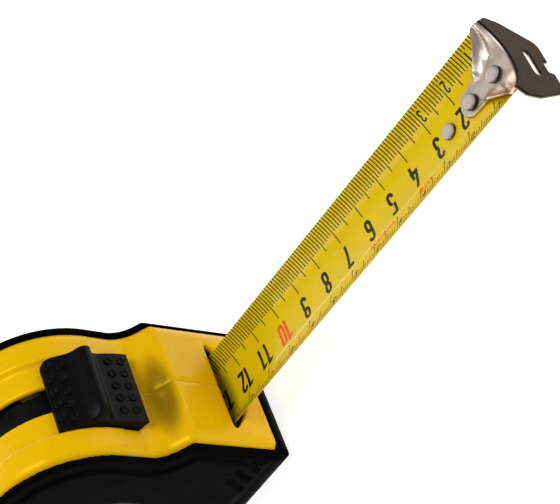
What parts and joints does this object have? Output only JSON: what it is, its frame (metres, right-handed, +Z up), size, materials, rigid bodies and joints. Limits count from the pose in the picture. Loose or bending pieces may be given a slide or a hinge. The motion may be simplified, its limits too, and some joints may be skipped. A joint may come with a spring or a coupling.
{
  "type": "tape measure",
  "caption": "Pocket tape measure: two-shell case with rubber grips, sprung reel, sliding lock button, curved metric blade, floating end hook and belt clip.",
  "frame": {"origin": "on the flat resting face, in the middle plane, straight under the reel's axis", "axes": "+X the way the blade runs out of the mouth, +Y towards the belt clip side, +Z up"},
  "size_m": [0.2, 0.0521, 0.0782],
  "materials": {
    "yellow_shell": "smooth glossy moulded plastic",
    "black_rubber": "soft satin rubber",
    "black_plastic": "satin moulded nylon",
    "grey_plastic": "plain moulded plastic",
    "blade_paint": "printed spring steel with a clear nylon coat",
    "hook_steel": "bright nickel plate",
    "spring_steel": "blued strip steel",
    "zinc_screw": "zinc plated",
    "clip_chrome": "polished chrome plate",
    "badge": "plain dark badge"
  },
  "bodies": {
    "case": {"case_left": "yellow_shell", "case_right": "yellow_shell", "grip_left": "black_rubber", "grip_right": "black_rubber", "side_badge": "badge", "case_screws": "zinc_screw", "mouth_guide": "black_plastic", "reel_post": "hook_steel", "clip_screw": "zinc_screw"},
    "reel": {"reel_drum": "grey_plastic", "reel_cover": "grey_plastic", "blade_coil": "blade_paint", "mainspring": "spring_steel"},
    "blade": {"blade_front": "blade_paint", "blade_rear": "blade_paint", "backing_plate": "spring_steel", "hook_rivets": "hook_steel", "stop_rivet": "hook_steel"},
    "hook": {"end_hook": "hook_steel"},
    "lock": {"lock_button": "black_plastic", "lock_strap": "black_plastic", "lock_shoe": "black_rubber"},
    "clip": {"belt_clip": "clip_chrome"}
  },
  "joints": [
    {"name": "blade_slide", "type": "slide", "parent": "case", "child": "blade", "axis": [1, 0, 0], "range_m": [-0.1225, 0.025], "deforming": ["blade_rear"]},
    {"name": "hook_float", "type": "slide", "parent": "blade", "child": "hook", "axis": [1, 0, 0], "range_m": [0, 0.001]},
    {"name": "reel_spin", "type": "hinge", "parent": "case", "child": "reel", "pos_m": [0, 0, 0.04152], "axis": [0, 1, 0], "range_deg": [-65, 305], "deforming": ["mainspring"]},
    {"name": "lock_slide", "type": "hinge", "parent": "case", "child": "lock", "pos_m": [0.008, 0, 0.0522], "axis": [0, -1, 0], "range_deg": [0, 12]},
    {"name": "clip_flex", "type": "hinge", "parent": "case", "child": "clip", "pos_m": [0, 0.0211, 0.0552], "axis": [1, 0, 0], "range_deg": [0, 7], "stiffness_Nm_per_rad": 4, "deforming": ["belt_clip"]}
  ],
  "couplings": [
    {"joint": "reel_spin", "follows": "blade_slide", "rad_per_m": -42.902}
  ]
}
